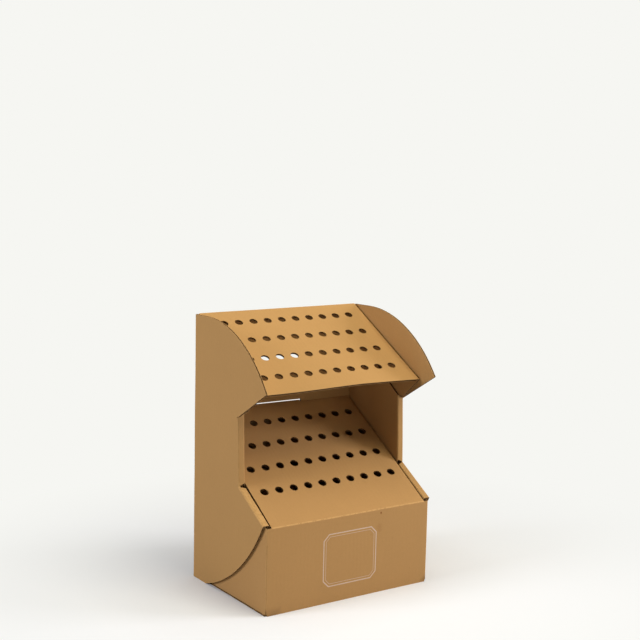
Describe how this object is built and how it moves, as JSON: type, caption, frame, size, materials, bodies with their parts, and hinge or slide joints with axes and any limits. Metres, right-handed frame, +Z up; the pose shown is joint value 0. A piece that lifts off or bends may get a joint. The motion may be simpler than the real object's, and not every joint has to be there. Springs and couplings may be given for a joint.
{
  "type": "cardboard display stand",
  "caption": "Countertop display stand folded from corrugated kraft board, with two sloping perforated shelves that hold upright shafts between double side walls.",
  "frame": {"origin": "on the floor, under the middle of the stand's bounding box", "axes": "+Z up, +Y to the back panel, +X to the right seen from the front"},
  "size_m": [0.293, 0.228, 0.4111],
  "materials": {
    "kraft_board": "matte brown kraft liner over a fluted core"
  },
  "bodies": {
    "root": {"outer_sleeve": "kraft_board", "base_tray": "kraft_board"}
  },
  "joints": []
}
